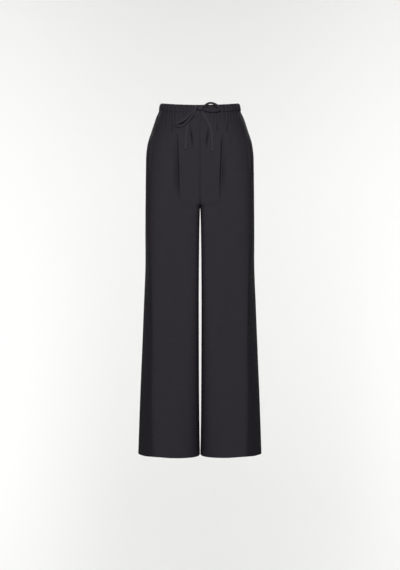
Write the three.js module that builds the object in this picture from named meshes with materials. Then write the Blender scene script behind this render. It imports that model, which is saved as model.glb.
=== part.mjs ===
// Wide-leg trousers with an elasticated waistband, soft front pleats and a flat drawstring tied in a
// bow, filled out as if worn. Millimetres: +Z is up, -Y is the front and +X is the left leg. The origin
// is the middle of the waistband ring, halfway up the band.
import * as THREE from "three";

// A table with a name for each column, written as short rows of numbers.
function tableOf(columns, rows) {
  const names = columns.split(" ");
  return rows.map((row) => Object.fromEntries(names.map((name, i) => [name, row[i]])));
}

// Driving dimensions
const BAND_HEIGHT = 22; // waistband, top edge to waist seam
const SIDE_LENGTH = 1075; // outseam with the band
const HIP_HALF_WIDTH = 164; // half the width across the hips
const SEAM_GAP = 0.3; // between two pieces at a seam
const CLOTH = 1.2; // wall of one layer of cloth
const BAND_INSIDE = 1.6; // the band's plain inside lies this deep: two layers round the elastic
const HEM_DEPTH = 30; // cloth turned up inside the hem
const FRONT_DIP = 17; // the waist is this much lower at the centre front
const BACK_RISE = 6; // and this much higher at the centre back
const TILT_CURVE = 1.25; // 1 would tilt the band as a flat ring
const TILT_FADES = 150; // the dip and rise die out this far below the band
const GATHERS = 13; // gathers held by the elastic, on each of the four panels
const GATHER_DEPTH = 1.0; // half the height of a gather's wave in the band
const GATHER_SWELL = 0.5; // and this much more a little below it
const TIE_WIDTH = 8; // flat drawstring
const TIE_THICKNESS = 1.5;
const TIE_EDGE = 0.45; // its long edges are eased by this much

const BAND_TOP = BAND_HEIGHT / 2;
const WAIST_SEAM = -BAND_HEIGHT / 2;
const HEM = BAND_TOP - SIDE_LENGTH;
const HEM_FOLD = HEM + HEM_DEPTH;
const CROTCH = -306;
const FORK_Y = 8; // the inseams and the widest line of the sides run here, front to back

// Each leg is a closed loop of cloth. Above the crotch the two loops reach past the centre plane and
// are cut there, so inner is negative. outer, inner and seam are how far the loop's sides and the side
// seam are from the centre plane, and front and back how far it reaches from the origin. flatFront,
// flatBack and flatIn say how square its corners are: 2 is an ellipse. facet is 0 where the cloth
// rounds from the seam to the side, and 1 where it runs there straight, so that the seam stands out as
// an edge.
const LOOPS = tableOf(
  "z outer inner front back seam facet flatFront flatBack flatIn",
  [
    [11, 119, -119, 90, 92, 117, 0, 2, 2, 2],
    [-11, 124, -124, 94, 97, 121.5, 0, 2.1, 2.05, 2],
    [-34, 134, -134, 98.5, 103, 128, 0, 2.3, 2.1, 2],
    [-71, 146.5, -146, 103.5, 111, 135, 0, 2.6, 2.15, 2.05],
    [-120, 160.5, -154, 107.5, 120, 148, 0, 2.9, 2.2, 2.15],
    [-157, HIP_HALF_WIDTH, -126, 109, 124.5, 152, 0, 3.1, 2.25, 2.35],
    [-200, HIP_HALF_WIDTH + 0.6, -80, 109.5, 127, 154, 0.02, 3.2, 2.3, 2.75],
    [-240, HIP_HALF_WIDTH + 1, -43, 109, 127, 155, 0.05, 3.3, 2.35, 3.4],
    [-270, HIP_HALF_WIDTH + 1.3, -20, 108, 126, 155.2, 0.1, 3.3, 2.4, 4.2],
    [-292, HIP_HALF_WIDTH + 1.6, -6, 107, 124.8, 155, 0.15, 3.3, 2.4, 5],
    [CROTCH, HIP_HALF_WIDTH + 1.8, 0.35, 106.2, 123.8, 154.6, 0.2, 3.3, 2.4, 5.5],
    [-360, HIP_HALF_WIDTH + 2.6, 2.4, 103.5, 119, 152.5, 0.4, 3.35, 2.4, 6],
    [-470, HIP_HALF_WIDTH + 3.6, 3.8, 98.5, 110.5, 150, 0.75, 3.4, 2.4, 6],
    [-605, 172.3, 4.7, 95, 103, 145.5, 1, 3.5, 2.4, 5.5],
    [-760, 178, 4.2, 92.5, 98.5, 143, 1, 3.5, 2.4, 5],
    [-912, 184.1, 3.3, 91, 96.5, 141, 1, 3.5, 2.4, 4.2],
    [-1035, 188.3, 1.7, 90.5, 95.5, 137.5, 1, 3.5, 2.4, 3.4],
    [HEM, 189.2, 1.0, 90.5, 95.5, 136.5, 1, 3.5, 2.4, 3.2],
  ],
);
const FACET_BULGE = 1.2; // 1 is a straight facet and 2 a round one

// Folds run down a panel along x, its distance from the centre plane: on the left (side 1), the right
// (-1) or both (0). depth is below the cloth. near is the width of the fold's slope towards the centre
// plane, far of the other.
const FOLD_COLUMNS = "side top deep end xTop xEnd depth near far";
const FRONT_FOLDS = tableOf(FOLD_COLUMNS, [
  [1, -50, -88, -126, 27, 21, 4.5, 7, 4],
  [-1, -46, -86, -126, 30, 20.5, 4.2, 7, 4],
  [1, -62, -160, -300, 73.5, 59.5, 8, 6, 24],
  [-1, -60, -165, -302, 73.5, 61, 8.2, 6, 26],
  [1, -38, -60, -86, 55, 53, 3, 5, 5],
  [0, -38, -62, -92, 87, 84, 3.6, 5, 6],
]);
const BACK_FOLDS = tableOf(FOLD_COLUMNS, [
  [0, -45, -92, -152, 38, 34, 4.5, 8, 9],
  [0, -45, -108, -196, 82, 86, 5, 10, 10],
  [0, -250, -620, -1250, 92, 82, 8, 34, 34],
]);

// The pocket mouths lie in the side seams, where the front's edge stands a little proud.
const POCKET = {
  top: -74,
  bottom: -214,
  lift: 2.6, // of the front's edge
  lip: 12, // width of cloth that lifts
  depth: 112, // from the mouth towards the centre
  inset: 2, // from the side seam
  corner: 28, // how much further from the seam the lowest edge is
  hang: 62, // below the mouth
  layers: 1.8, // two layers of pocketing
  behind: 1.8, // below the front's outer face, at the mouth
  sag: 9.5, // further in where the bag hangs free
};

// The drawstring's routes, from the knot outwards. These points are chosen by eye along the cloth.
const LEFT_END_ROUTE = [
  [5, -99, -25.4],
  [7.5, -98.6, -31],
  [13, -98.6, -39.5],
  [21.5, -100, -52],
  [29, -102.4, -68.7],
  [34.5, -105.8, -88],
  [36.8, -108.8, -117],
  [37.4, -111.2, -148],
];
const RIGHT_END_ROUTE = [
  [-2.5, -97.2, -25.7],
  [-7, -97, -31],
  [-18, -98.6, -38.5],
  [-29.5, -99.4, -47.5],
  [-36, -101, -62],
  [-39, -104, -77],
  [-42, -107.4, -105],
  [-43.3, -110.9, -142],
];
const LEFT_LOOP_ROUTE = [
  [10.3, -99, -13.5],
  [20, -98.8, -5],
  [31, -97.5, -0.9],
  [44, -96, -3.5],
  [54.5, -94.5, -10.5],
  [57.6, -93.8, -18],
  [52, -94.7, -23.6],
  [40, -97, -26],
  [26, -98.9, -24.6],
  [10.3, -99.4, -20],
];
const RIGHT_LOOP_ROUTE = [
  [-10.4, -102, -14],
  [-19.7, -106, -26],
  [-34, -113, -40],
  [-48.3, -114, -53.5],
  [-60, -110, -59.5],
  [-69, -107, -62.5],
  [-71.5, -104.6, -66.5],
  [-65, -103.6, -70.5],
  [-52, -104.6, -69],
  [-40, -107, -60],
  [-31, -107, -49.5],
  [-20, -105, -36],
  [-10.6, -101.4, -23.5],
];
const KNOT = { x: 1.5, y: -99.4, z: -17, width: 16.4, height: 14, depth: 8.6, corner: 4, bevel: 2.4 };

// Small helpers
const clamp = (value, low, high) => Math.min(high, Math.max(low, value));
const mix = (a, b, share) => a + (b - a) * share;
const smooth = (share) => {
  const s = clamp(share, 0, 1);
  return s * s * (3 - 2 * s);
};
const evenShares = (count) => Array.from({ length: count + 1 }, (_, i) => i / count);
const signedPower = (value, power) => Math.sign(value) * Math.pow(Math.abs(value), power);

// A smooth curve through one column of a table whose rows run down in z, with no overshoot between
// rows.
function column(table, name) {
  const slopes = table.slice(1).map((row, i) => (row[name] - table[i][name]) / (row.z - table[i].z));
  const tangents = table.map((_, i) => {
    if (i === 0 || i === table.length - 1) return slopes[Math.min(i, slopes.length - 1)];
    const [above, below] = [slopes[i - 1], slopes[i]];
    return above * below <= 0 ? 0 : (2 * above * below) / (above + below);
  });
  return (z) => {
    const last = table.length - 2;
    const found = table.findIndex((row, i) => i > 0 && z >= row.z);
    const i = found < 0 ? last : found - 1;
    const span = table[i + 1].z - table[i].z;
    const s = clamp((z - table[i].z) / span, 0, 1);
    const [a, b] = [table[i][name], table[i + 1][name]];
    return (
      a * (1 + 2 * s) * (1 - s) * (1 - s) +
      b * s * s * (3 - 2 * s) +
      span * (tangents[i] * s * (1 - s) * (1 - s) - tangents[i + 1] * s * s * (1 - s))
    );
  };
}

const outerAt = column(LOOPS, "outer");
const innerAt = column(LOOPS, "inner");
const frontAt = column(LOOPS, "front");
const backAt = column(LOOPS, "back");
const seamXAt = column(LOOPS, "seam");
const facetAt = column(LOOPS, "facet");
const flatFrontAt = column(LOOPS, "flatFront");
const flatBackAt = column(LOOPS, "flatBack");
const flatInAt = column(LOOPS, "flatIn");

// How much higher or lower the cloth sits than its nominal height, because the waist tilts.
function tilt(y, z) {
  const fade = 1 - smooth((WAIST_SEAM - z) / TILT_FADES);
  const share = y < 0 ? -y / frontAt(z) : y / backAt(z);
  return fade * Math.pow(share, TILT_CURVE) * (y < 0 ? -FRONT_DIP : BACK_RISE);
}

// The cloth round the left leg at one height, from the centre front or inseam, round the outside, to
// the centre back or inseam: points with their distance along the cloth, and where the side seam is.
const PANEL_STEPS = 120;
const FACET_STEPS = 60;
function clothRound(z) {
  const [outer, inner, front, back] = [outerAt(z), innerAt(z), frontAt(z), backAt(z)];
  const [centre, half] = [(outer + inner) / 2, (outer - inner) / 2];
  const loop = (angle) => {
    const [s, c] = [Math.sin(angle), Math.cos(angle)];
    const flat = s < 0 ? flatInAt(z) : c > 0 ? flatFrontAt(z) : flatBackAt(z);
    const reach = c > 0 ? front + FORK_Y : back - FORK_Y;
    return [centre + half * signedPower(s, 2 / flat), FORK_Y - reach * signedPower(c, 2 / flat)];
  };
  const whole = inner >= SEAM_GAP / 2;
  const start = whole ? -Math.PI / 2 : cutAngle(loop, -Math.PI / 2, 0);
  const end = whole ? 1.5 * Math.PI : cutAngle(loop, 1.5 * Math.PI, Math.PI);
  const seam = Math.asin(Math.pow((seamXAt(z) - centre) / half, flatFrontAt(z) / 2));
  const [seamX, seamY] = loop(seam);
  const facet = (share) => {
    const angle = (share * Math.PI) / 2;
    const [roundX, roundY] = loop(mix(seam, Math.PI / 2, share));
    const x = mix(seamX, outer, signedPower(Math.sin(angle), 2 / FACET_BULGE));
    const y = mix(FORK_Y, seamY, signedPower(Math.cos(angle), 2 / FACET_BULGE));
    return [mix(roundX, x, facetAt(z)), mix(roundY, y, facetAt(z))];
  };
  const frontPart = evenShares(PANEL_STEPS).map((share) => loop(mix(start, seam, share)));
  const facetPart = evenShares(FACET_STEPS).map((share) => facet(share));
  const backPart = evenShares(PANEL_STEPS).map((share) => loop(mix(Math.PI / 2, end, share)));
  const places = [...frontPart, ...facetPart.slice(1), ...backPart.slice(1)];
  let along = 0;
  const points = places.map(([x, y], i) => {
    if (i > 0) along += Math.hypot(x - places[i - 1][0], y - places[i - 1][1]);
    return { x, y, along };
  });
  return { points, seamAlong: points[PANEL_STEPS].along, length: along };
}

// The angle, between the loop's inner side and its front or back, where it crosses the centre plane.
function cutAngle(loop, innerSide, apex) {
  let [low, high] = [innerSide, apex];
  for (let i = 0; i < 40; i++) {
    const middle = (low + high) / 2;
    if (loop(middle)[0] < SEAM_GAP / 2) low = middle;
    else high = middle;
  }
  return high;
}

// The point of a round of cloth at a distance along it, and the way that the cloth faces there, level.
function placeOn(round, along) {
  const { points } = round;
  let i = points.findIndex((p) => p.along >= along);
  i = i < 0 ? points.length - 1 : Math.max(i, 1);
  const [a, b] = [points[i - 1], points[i]];
  const share = (along - a.along) / Math.max(b.along - a.along, 1e-9);
  const facing = new THREE.Vector2(b.y - a.y, -(b.x - a.x)).normalize();
  return { x: mix(a.x, b.x, share), y: mix(a.y, b.y, share), facing };
}

// How far along a round the cloth stands x from the centre plane, on its front or back.
function alongAtX(round, x, isBack) {
  const { points } = round;
  const widest = points.reduce((best, p, i) => (p.x > points[best].x ? i : best), 0);
  const i = isBack ? points.findIndex((p, k) => k > widest && p.x <= x) : points.findIndex((p) => p.x >= x);
  const [a, b] = [points[i - 1], points[i]];
  return mix(a.along, b.along, (x - a.x) / (b.x - a.x));
}

// A fold's shape across the cloth: 1 at its line and 0 past its two slopes.
function foldShare(fold, from) {
  return 1 - smooth(Math.abs(from) / (from < 0 ? fold.near : fold.far));
}

// How much of its depth a fold has at a height.
function foldStrength(fold, z) {
  if (z > fold.top || z < fold.end) return 0;
  if (z > fold.deep) return smooth((fold.top - z) / (fold.top - fold.deep));
  return smooth((z - fold.end) / (fold.deep - fold.end));
}

// Where a fold's line is at a height. It leans most near its top, and more so the smaller FOLD_LEAN is.
const FOLD_LEAN = 0.35;
function foldX(fold, z) {
  const down = clamp((fold.top - z) / (fold.top - fold.end), 0, 1);
  return mix(fold.xTop, fold.xEnd, Math.pow(down, FOLD_LEAN));
}

function foldsOf(side, isBack) {
  const folds = isBack ? BACK_FOLDS : FRONT_FOLDS;
  return folds.filter((fold) => fold.side !== -side);
}

// The gathers that the elastic holds: uneven waves that run down from the band and die out, some soon,
// some later.
function gatherRise(across, z, side, isBack) {
  const turn = 2 * Math.PI * across;
  const mood = (isBack ? 2.1 : 0.4) + (side < 0 ? 1.3 : 0);
  const drift = 1.2 * Math.sin(turn * 3 + mood) * Math.sin(Math.PI * across);
  const wave = Math.cos(turn * GATHERS + drift);
  const reach = 40 + 16 * Math.sin(turn * 4 + mood) + 9 * Math.sin(turn * 9 + 2 * mood);
  const below = Math.max(0, WAIST_SEAM - z);
  const uneven = 0.72 + 0.28 * Math.sin(turn * 5 + 3 * mood);
  const depth = GATHER_DEPTH + GATHER_SWELL * smooth(below / 20);
  return depth * uneven * wave * Math.exp(-Math.pow(below / reach, 1.6));
}

// Panels run from the centre seam or inseam to the side seam on the front, and on to the other inseam
// on the back. across is 0 to 1 over the panel.
function panelSpan(round, isBack) {
  const [start, end] = isBack ? [round.seamAlong, round.length] : [0, round.seamAlong];
  return [start + SEAM_GAP / 2, end - SEAM_GAP / 2];
}

const roundCache = new Map();
function roundAt(z) {
  const key = z.toFixed(3);
  if (!roundCache.has(key)) roundCache.set(key, clothRound(z));
  return roundCache.get(key);
}

// The pocket's lip: how far the front's edge stands proud at the side seam.
function pocketLift(fromSeam, z) {
  if (z > POCKET.top || z < POCKET.bottom) return 0;
  const middle = (POCKET.top + POCKET.bottom) / 2;
  const half = (POCKET.top - POCKET.bottom) / 2;
  const open = smooth(2.4 * (1 - Math.abs(z - middle) / half));
  return POCKET.lift * open * smooth(1 - fromSeam / POCKET.lip);
}

// How far the folds press a panel in, at a distance along a round.
function foldRise(round, along, z, side, isBack) {
  let rise = 0;
  for (const fold of foldsOf(side, isBack)) {
    const strength = foldStrength(fold, z);
    if (!strength) continue;
    const foldAlong = alongAtX(round, foldX(fold, z), isBack);
    const from = isBack ? foldAlong - along : along - foldAlong;
    rise -= fold.depth * strength * foldShare(fold, from);
  }
  return rise;
}

// A point of the cloth's outer face.
function clothPoint(side, isBack, across, z, folded = true) {
  const round = roundAt(z);
  const [low, high] = panelSpan(round, isBack);
  const along = mix(low, high, across);
  const place = placeOn(round, along);
  let rise = 0;
  if (folded) {
    rise += gatherRise(isBack ? 1 - across : across, z, side, isBack);
    rise += foldRise(round, along, z, side, isBack);
  }
  if (folded && !isBack) rise += pocketLift(high - along, z);
  const x = Math.max(place.x + rise * place.facing.x, SEAM_GAP / 2);
  const y = place.y + rise * place.facing.y;
  return new THREE.Vector3(side * x, y, z + tilt(place.y, z));
}

// The way that the cloth faces at a point. At a seam it is the plain form's way, so that neighbours
// meet as a mitre.
function clothFacing(side, isBack, across, z) {
  if (across === 0 || across === 1) return plainFacing(side, isBack, across, z);
  const point = (a, height) => clothPoint(side, isBack, a, height);
  const [da, dz] = [0.004, 1];
  const [a0, a1] = [clamp(across - da, 0, 1), clamp(across + da, 0, 1)];
  const [z0, z1] = [clamp(z - dz, HEM, BAND_TOP), clamp(z + dz, HEM, BAND_TOP)];
  const alongCloth = point(a1, z).sub(point(a0, z));
  const upCloth = point(across, z1).sub(point(across, z0));
  return alongCloth.cross(upCloth).normalize().multiplyScalar(side);
}

// The way that the plain form faces, level, without gathers and folds.
function plainFacing(side, isBack, across, z) {
  const round = roundAt(z);
  const atSide = across === (isBack ? 0 : 1);
  const atInseam = across === (isBack ? 1 : 0) && z <= CROTCH;
  if (atInseam) return new THREE.Vector3(-side, 0, 0);
  const { facing } = placeOn(round, atSide ? round.seamAlong : mix(...panelSpan(round, isBack), across));
  return new THREE.Vector3(side * facing.x, facing.y, 0);
}

// The inner point of a wall. On a level edge it stays at the outer point's height, and at the centre
// plane it stays on that plane, so that the two sides meet as a mitre.
function innerPoint(outer, facing, wall, level, onCentre) {
  const way = facing.clone();
  if (level) way.z = 0;
  if (onCentre) way.x = 0;
  const length = Math.max(way.length(), 0.4);
  return outer.clone().addScaledVector(way, -wall / (length * length));
}

// A closed wall from rows { outer, inner, share }, from its top row to its lowest. outer and inner are
// points, and share says how far across each of them is. Neighbouring rows may have different numbers
// of points.
function wallGeometry(rows, flipped) {
  const vertices = [];
  const faces = [];
  const put = (point) => vertices.push(point.x, point.y, point.z) / 3 - 1;
  const numbered = rows.map((row) => {
    return { share: row.share, outer: row.outer.map(put), inner: row.inner.map(put) };
  });
  const face = (a, b, c) => faces.push(...(flipped ? [a, c, b] : [a, b, c]));
  const quad = (a, b, c, d) => {
    face(a, b, c);
    face(a, c, d);
  };
  for (let r = 0; r + 1 < numbered.length; r++) {
    const [up, down] = [numbered[r], numbered[r + 1]];
    let [i, j] = [0, 0];
    while (i + 1 < up.share.length || j + 1 < down.share.length) {
      const nextUp = i + 1 < up.share.length ? up.share[i] + up.share[i + 1] : Infinity;
      const nextDown = j + 1 < down.share.length ? down.share[j] + down.share[j + 1] : Infinity;
      if (nextUp <= nextDown) {
        face(up.outer[i], down.outer[j], up.outer[i + 1]);
        face(up.inner[i], up.inner[i + 1], down.inner[j]);
        i++;
      } else {
        face(up.outer[i], down.outer[j], down.outer[j + 1]);
        face(up.inner[i], down.inner[j + 1], down.inner[j]);
        j++;
      }
    }
    quad(down.outer[0], up.outer[0], up.inner[0], down.inner[0]);
    quad(up.outer.at(-1), down.outer.at(-1), down.inner.at(-1), up.inner.at(-1));
  }
  const [top, bottom] = [numbered[0], numbered.at(-1)];
  for (let i = 0; i + 1 < top.share.length; i++) {
    quad(top.outer[i], top.outer[i + 1], top.inner[i + 1], top.inner[i]);
  }
  for (let i = 0; i + 1 < bottom.share.length; i++) {
    quad(bottom.outer[i + 1], bottom.outer[i], bottom.inner[i], bottom.inner[i + 1]);
  }
  const geometry = new THREE.BufferGeometry();
  geometry.setAttribute("position", new THREE.Float32BufferAttribute(vertices, 3));
  geometry.setIndex(faces);
  geometry.computeVertexNormals();
  return geometry;
}

// Shares across a panel that follow its folds: knots at the folds' edges and lines, with a number of
// steps between.
function foldShares(isBack, z, folds, steps) {
  const round = roundAt(z);
  const [low, high] = panelSpan(round, isBack);
  const knots = folds.flatMap((fold) => {
    const line = alongAtX(round, foldX(fold, z), isBack);
    const [before, after] = isBack ? [fold.far, fold.near] : [fold.near, fold.far];
    return [line - before, line, line + after];
  });
  const inside = knots.map((along) => (along - low) / (high - low)).sort((a, b) => a - b);
  const ends = [0, ...inside, 1];
  const between = (i) => evenShares(steps[i]).slice(1).map((share) => mix(ends[i], ends[i + 1], share));
  return [0, ...steps.flatMap((_, i) => between(i))];
}

const GATHER_ROWS = [WAIST_SEAM - SEAM_GAP, -22, -36, -54, -76];
const FOLD_ROWS = [-95, -118, -145, -175, -208, -240, -262];
const CROTCH_ROWS = [-278, -289, -297, -302.5, CROTCH];
const LEG_ROWS = [-318, -340, -385, -450, -530, -620, -720, -820, -920, HEM_FOLD + 3, HEM_FOLD, HEM];
const GATHER_STEPS = 4; // points to a gather
const CROTCH_STEPS = 18;
const FRONT_LEG_STEPS = 18;
const TUCK_STEPS = { front: [1, 1, 1, 3, 1, 3, 6], back: [5, 1, 1, 2, 1, 1, 3] };
const DRAPE_STEPS = [6, 2, 2, 8];

// The rows of one panel: heights, and the shares across at each.
function panelRows(side, isBack) {
  const folds = foldsOf(side, isBack);
  const [tucks, drapes] = [folds.slice(0, 2), folds.slice(2)];
  const tuckSteps = isBack ? TUCK_STEPS.back : TUCK_STEPS.front;
  const drapeShares = (z) => foldShares(isBack, z, drapes, DRAPE_STEPS);
  const legShares = (z) => (isBack ? drapeShares(z) : evenShares(FRONT_LEG_STEPS));
  return [
    ...GATHER_ROWS.map((z) => ({ z, share: evenShares(GATHERS * GATHER_STEPS) })),
    ...FOLD_ROWS.map((z) => ({ z, share: foldShares(isBack, z, tucks, tuckSteps) })),
    ...CROTCH_ROWS.map((z) => ({ z, share: evenShares(CROTCH_STEPS) })),
    ...LEG_ROWS.map((z) => ({ z, share: legShares(z) })),
  ];
}

// One of the four panels. side is 1 for the left and -1 for the right.
function panelGeometry(side, isBack) {
  const rows = panelRows(side, isBack).map(({ z, share }) => {
    const level = z === GATHER_ROWS[0] || z === HEM;
    const wall = z <= HEM_FOLD ? 2 * CLOTH : CLOTH;
    const centreShare = isBack ? 1 : 0;
    const outer = share.map((across) => clothPoint(side, isBack, across, z));
    const inner = share.map((across, i) => {
      const facing = clothFacing(side, isBack, across, z);
      return innerPoint(outer[i], facing, wall, level, z > CROTCH && across === centreShare);
    });
    return { outer, inner, share };
  });
  return wallGeometry(rows, side < 0);
}

// The waistband: a front and a back half, each from side seam to side seam, gathered with the panels
// below.
const BAND_ROWS = [
  { z: BAND_TOP, proud: 0.2 },
  { z: 0, proud: 1.1 },
  { z: WAIST_SEAM, proud: 0.6 },
];
function bandGeometry(isBack) {
  const half = evenShares(GATHERS * GATHER_STEPS);
  const fromSide = isBack ? half.slice(0, -1) : half.slice(1);
  const [left, right] = [half.map((a) => [1, a]), fromSide.reverse().map((a) => [-1, a])];
  const ordered = isBack ? [...left, ...right] : [...right, ...left];
  const share = evenShares(ordered.length - 1);
  const rows = BAND_ROWS.map(({ z, proud }) => {
    const points = (folded, depth) =>
      ordered.map(([side, across]) => {
        const plain = plainFacing(side, isBack, across, z);
        return clothPoint(side, isBack, across, z, folded).addScaledVector(plain, -depth);
      });
    return { outer: points(true, -proud), inner: points(false, BAND_INSIDE), share };
  });
  return wallGeometry(rows, false);
}

const POCKET_ROWS = [POCKET.top + 6, -100, -135, -175, POCKET.bottom, -248, POCKET.bottom - POCKET.hang];
const POCKET_STEPS = 8;

// A pocket bag: two layers of cloth that hang from the mouth, between the front and the wearer.
function pocketGeometry(side) {
  const rows = POCKET_ROWS.map((z) => {
    const round = roundAt(z);
    const [low, high] = panelSpan(round, false);
    const drop = clamp((POCKET.bottom - z) / POCKET.hang, 0, 1);
    const near = high - POCKET.inset - POCKET.corner * smooth(1.6 * drop);
    const far = near - POCKET.depth * Math.sqrt(1 - 0.8 * drop * drop);
    const hangsFree = smooth((Math.max(0, POCKET.top - z) + 20) / 40);
    const share = evenShares(POCKET_STEPS);
    const made = share.map((s) => {
      const along = mix(far, near, s);
      const place = placeOn(round, Math.max(along, low));
      const depth = POCKET.behind + POCKET.sag * hangsFree * smooth((near - along - 20) / 50);
      const spot = (sunk) => {
        const [x, y] = [place.x - sunk * place.facing.x, place.y - sunk * place.facing.y];
        return new THREE.Vector3(side * x, y, z + tilt(place.y, z));
      };
      return { outer: spot(depth), inner: spot(depth + POCKET.layers) };
    });
    return { outer: made.map((m) => m.outer), inner: made.map((m) => m.inner), share };
  });
  return wallGeometry(rows, side < 0);
}

// A flat length of drawstring along a route. broadside: its face is towards the wearer, and not along
// the loop.
function tieGeometry(route, steps, broadside) {
  const [thin, wide, edge] = [TIE_THICKNESS / 2, TIE_WIDTH / 2, TIE_EDGE];
  const outline = [
    [thin, -wide + edge],
    [thin, wide - edge],
    [edge, wide],
    [-edge, wide],
    [-thin, wide - edge],
    [-thin, -wide + edge],
    [-edge, -wide],
    [edge, -wide],
  ];
  const corners = outline.map(([a, b]) => (broadside ? new THREE.Vector2(a, b) : new THREE.Vector2(b, -a)));
  const section = new THREE.Shape(corners);
  const places = route.map(([x, y, z]) => new THREE.Vector3(x, y, z));
  const path = new THREE.CatmullRomCurve3(places, false, "centripetal");
  return new THREE.ExtrudeGeometry(section, { steps, extrudePath: path, bevelEnabled: false });
}

// The knot: a rounded block where the drawstring wraps itself.
function knotGeometry() {
  const [w, h, c] = [KNOT.width / 2 - KNOT.bevel, KNOT.height / 2 - KNOT.bevel, KNOT.corner - KNOT.bevel];
  const outline = new THREE.Shape();
  outline.moveTo(-w + c, -h);
  outline.lineTo(w - c, -h).absarc(w - c, -h + c, c, -Math.PI / 2, 0);
  outline.lineTo(w, h - c).absarc(w - c, h - c, c, 0, Math.PI / 2);
  outline.lineTo(-w + c, h).absarc(-w + c, h - c, c, Math.PI / 2, Math.PI);
  outline.lineTo(-w, -h + c).absarc(-w + c, -h + c, c, Math.PI, 1.5 * Math.PI);
  const thick = KNOT.depth - 2 * KNOT.bevel;
  const block = new THREE.ExtrudeGeometry(outline, {
    depth: thick,
    bevelThickness: KNOT.bevel,
    bevelSize: KNOT.bevel,
    bevelSegments: 2,
    curveSegments: 3,
  });
  return block.translate(0, 0, -thick / 2).rotateX(Math.PI / 2);
}

const cloth = new THREE.MeshStandardMaterial({ color: 0x302e33, roughness: 0.8, metalness: 0 });
const tie = new THREE.MeshStandardMaterial({ color: 0x3a393b, roughness: 0.55, metalness: 0 });
const pocketing = new THREE.MeshStandardMaterial({ color: 0x2a282c, roughness: 0.85, metalness: 0 });

function named(name, geometry, material) {
  const mesh = new THREE.Mesh(geometry, material);
  mesh.name = name;
  return mesh;
}

const trousers = new THREE.Group();
for (const [word, side] of [["left", 1], ["right", -1]]) {
  trousers.add(named(`front_${word}`, panelGeometry(side, false), cloth));
  trousers.add(named(`back_${word}`, panelGeometry(side, true), cloth));
  trousers.add(named(`pocket_${word}`, pocketGeometry(side), pocketing));
}
trousers.add(named("waistband_front", bandGeometry(false), cloth));
trousers.add(named("waistband_back", bandGeometry(true), cloth));

const bow = new THREE.Group();
const knot = named("tie_knot", knotGeometry(), tie);
knot.position.set(KNOT.x, KNOT.y, KNOT.z);
bow.add(knot);
bow.add(named("tie_loop_left", tieGeometry(LEFT_LOOP_ROUTE, 24, false), tie));
bow.add(named("tie_loop_right", tieGeometry(RIGHT_LOOP_ROUTE, 26, true), tie));
bow.add(named("tie_end_left", tieGeometry(LEFT_END_ROUTE, 14, true), tie));
bow.add(named("tie_end_right", tieGeometry(RIGHT_END_ROUTE, 14, true), tie));
trousers.add(bow);

export default trousers;
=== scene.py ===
# %% [markdown]
# Wide-leg trousers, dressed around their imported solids.
#
# The solids hold the garment's size and place. This lesson adds what the eye sees: thin shells of cloth with their
# gathers, pleats and seams, a flat drawstring tied in a bow, rows of stitches, and the weave. Each piece is made the
# way a maker would think of it, from its cut and from how it is held.

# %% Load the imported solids
import math

import bmesh
import bpy
import numpy as np
from mathutils import Matrix, Vector


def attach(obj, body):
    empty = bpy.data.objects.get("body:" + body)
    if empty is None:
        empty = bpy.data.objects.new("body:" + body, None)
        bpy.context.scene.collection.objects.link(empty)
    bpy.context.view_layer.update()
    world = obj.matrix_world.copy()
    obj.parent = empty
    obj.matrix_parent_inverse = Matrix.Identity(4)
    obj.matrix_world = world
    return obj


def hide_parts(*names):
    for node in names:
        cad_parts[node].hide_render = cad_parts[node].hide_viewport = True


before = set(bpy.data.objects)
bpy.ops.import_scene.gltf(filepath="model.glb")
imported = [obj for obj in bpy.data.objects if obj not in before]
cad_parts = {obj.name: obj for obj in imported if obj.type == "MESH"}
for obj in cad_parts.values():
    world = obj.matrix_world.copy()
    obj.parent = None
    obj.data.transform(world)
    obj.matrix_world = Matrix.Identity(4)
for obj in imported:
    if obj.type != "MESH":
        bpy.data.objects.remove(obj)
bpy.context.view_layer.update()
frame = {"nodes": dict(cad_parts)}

MM = 0.001
print("nodes:", ", ".join(frame["nodes"]))

# %% [markdown]
# The camera. The photograph is a straight front view from a few metres away. A lens is found from one known length:
# the picture's height covers 1.75 m at the garment, 3.8 m away. The camera stands level with the middle of the
# frame, which is at mid-thigh, so the hem is seen slightly from above and the waist slightly from below.

# %% Camera
CAMERA_AWAY = 3.8
CAMERA_HEIGHT = -0.5456
FRAME_HEIGHT = 1.75
SENSOR = 36.0


def add_camera():
    data = bpy.data.cameras.new("camera")
    data.sensor_fit = "VERTICAL"
    data.sensor_height = SENSOR
    data.lens = SENSOR * CAMERA_AWAY / FRAME_HEIGHT
    camera = bpy.data.objects.new("camera", data)
    camera.location = (0.0, -CAMERA_AWAY, CAMERA_HEIGHT)
    camera.rotation_euler = (math.radians(90), 0.0, 0.0)
    bpy.context.scene.collection.objects.link(camera)
    bpy.context.scene.camera = camera
    return camera


camera = add_camera()
print("lens:", round(camera.data.lens, 1), "mm")

# %% [markdown]
# Finishes come from nodes. Shader maths reads badly as a list of nodes and links, so a small class wraps a socket
# and lets Python's own operators add the Math nodes: 1 - mask is then a Subtract node. Every other node comes from
# one method, which takes the node's type, its settings, and what goes into its sockets.


# %% Shader maths as Python expressions
class Wire:
    """A socket of a material's nodes, on which + - and * add Math nodes."""

    def __init__(self, nodes, socket):
        self.nodes = nodes
        self.socket = socket

    def _maths(self, operation, first, second):
        return self.nodes.add("Math", {"operation": operation}, {0: first, 1: second})

    def __add__(self, other):
        return self._maths("ADD", self, other)

    def __radd__(self, other):
        return self._maths("ADD", other, self)

    def __sub__(self, other):
        return self._maths("SUBTRACT", self, other)

    def __rsub__(self, other):
        return self._maths("SUBTRACT", other, self)

    def __mul__(self, other):
        return self._maths("MULTIPLY", self, other)

    def __rmul__(self, other):
        return self._maths("MULTIPLY", other, self)


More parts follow.
